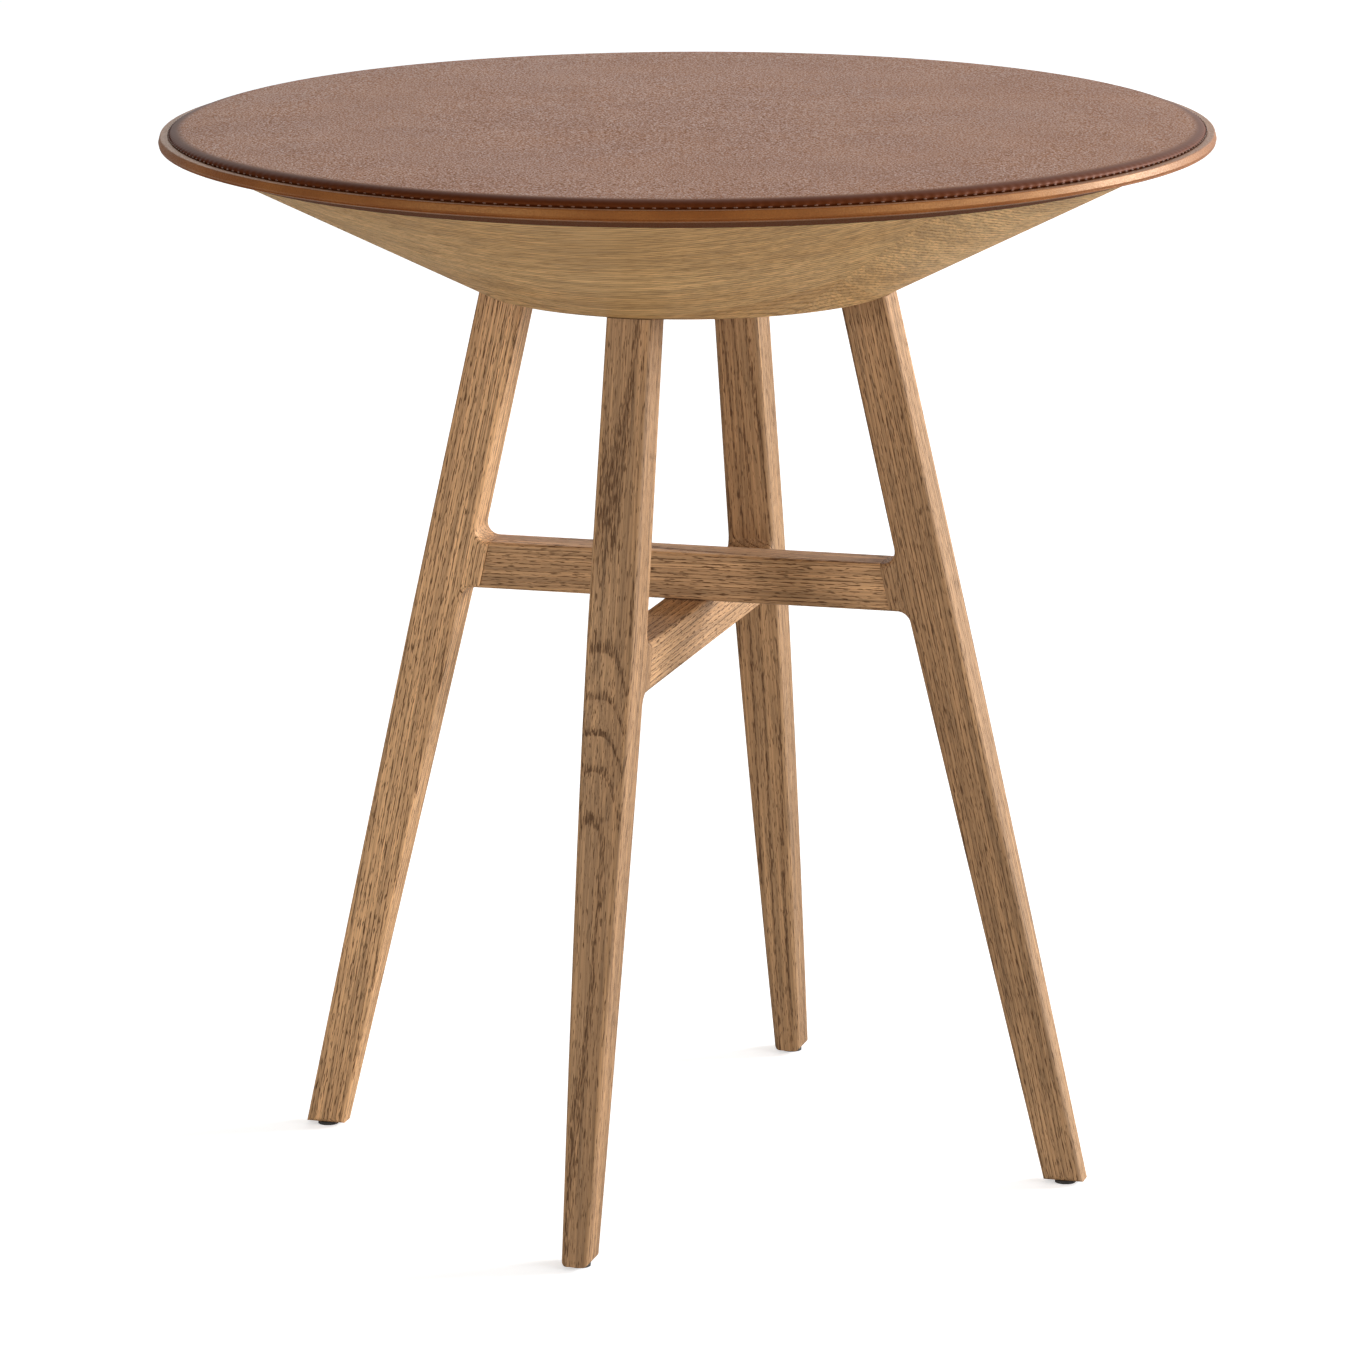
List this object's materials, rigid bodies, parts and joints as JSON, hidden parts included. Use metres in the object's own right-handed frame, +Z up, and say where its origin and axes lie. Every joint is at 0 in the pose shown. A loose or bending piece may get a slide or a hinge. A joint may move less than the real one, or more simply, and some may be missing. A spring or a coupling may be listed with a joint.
{
  "type": "round bistro table",
  "caption": "Round oak bistro table with a padded leather top on a conical base, splayed tapered legs and two crossing stretchers.",
  "frame": {"origin": "on the floor under the middle of the table", "axes": "+Z up; the left and right legs stand at -X and +X, the front and back legs at -Y and +Y"},
  "size_m": [0.72, 0.72, 0.735],
  "materials": {
    "pad_leather": "fine pebbled tan hide with a soft sheen",
    "edge_leather": "smooth tan hide, waxed, wrapped round the edge",
    "foam": "dense upholstery foam",
    "plywood": "raw birch plywood",
    "cone_oak": "oiled oak, satin, grain running round the cone",
    "leg_oak": "oiled oak, satin, open pores along each leg",
    "beech": "fluted beech dowel",
    "steel": "zinc plated",
    "glide": "black nylon"
  },
  "bodies": {
    "root": {"clip_screw_inner_back": "steel", "clip_screw_inner_front": "steel", "clip_screw_inner_left": "steel", "clip_screw_inner_right": "steel", "clip_screw_outer_back": "steel", "clip_screw_outer_front": "steel", "clip_screw_outer_left": "steel", "clip_screw_outer_right": "steel", "cone_floor_plug": "cone_oak", "cone_segment_back": "cone_oak", "cone_segment_front": "cone_oak", "cone_segment_left": "cone_oak", "cone_segment_right": "cone_oak", "crossing_plug": "leg_oak", "crossing_screw": "steel", "dowel_high_back": "beech", "dowel_high_front": "beech", "dowel_high_left": "beech", "dowel_high_right": "beech", "dowel_low_back": "beech", "dowel_low_front": "beech", "dowel_low_left": "beech", "dowel_low_right": "beech", "foam_pad": "foam", "foot_glide_back": "glide", "foot_glide_front": "glide", "foot_glide_left": "glide", "foot_glide_right": "glide", "leather_cover": "pad_leather", "leather_edge_band": "edge_leather", "leg_back": "leg_oak", "leg_bolt_back": "steel", "leg_bolt_front": "steel", "leg_bolt_left": "steel", "leg_bolt_right": "steel", "leg_front": "leg_oak", "leg_insert_back": "steel", "leg_insert_front": "steel", "leg_insert_left": "steel", "leg_insert_right": "steel", "leg_left": "leg_oak", "leg_right": "leg_oak", "leg_washer_back": "steel", "leg_washer_front": "steel", "leg_washer_left": "steel", "leg_washer_right": "steel", "mitre_spline_back": "plywood", "mitre_spline_front": "plywood", "mitre_spline_left": "plywood", "mitre_spline_right": "plywood", "stretcher_lower": "leg_oak", "stretcher_upper": "leg_oak", "top_board": "plywood", "top_clip_back": "steel", "top_clip_front": "steel", "top_clip_left": "steel", "top_clip_right": "steel"}
  },
  "joints": []
}
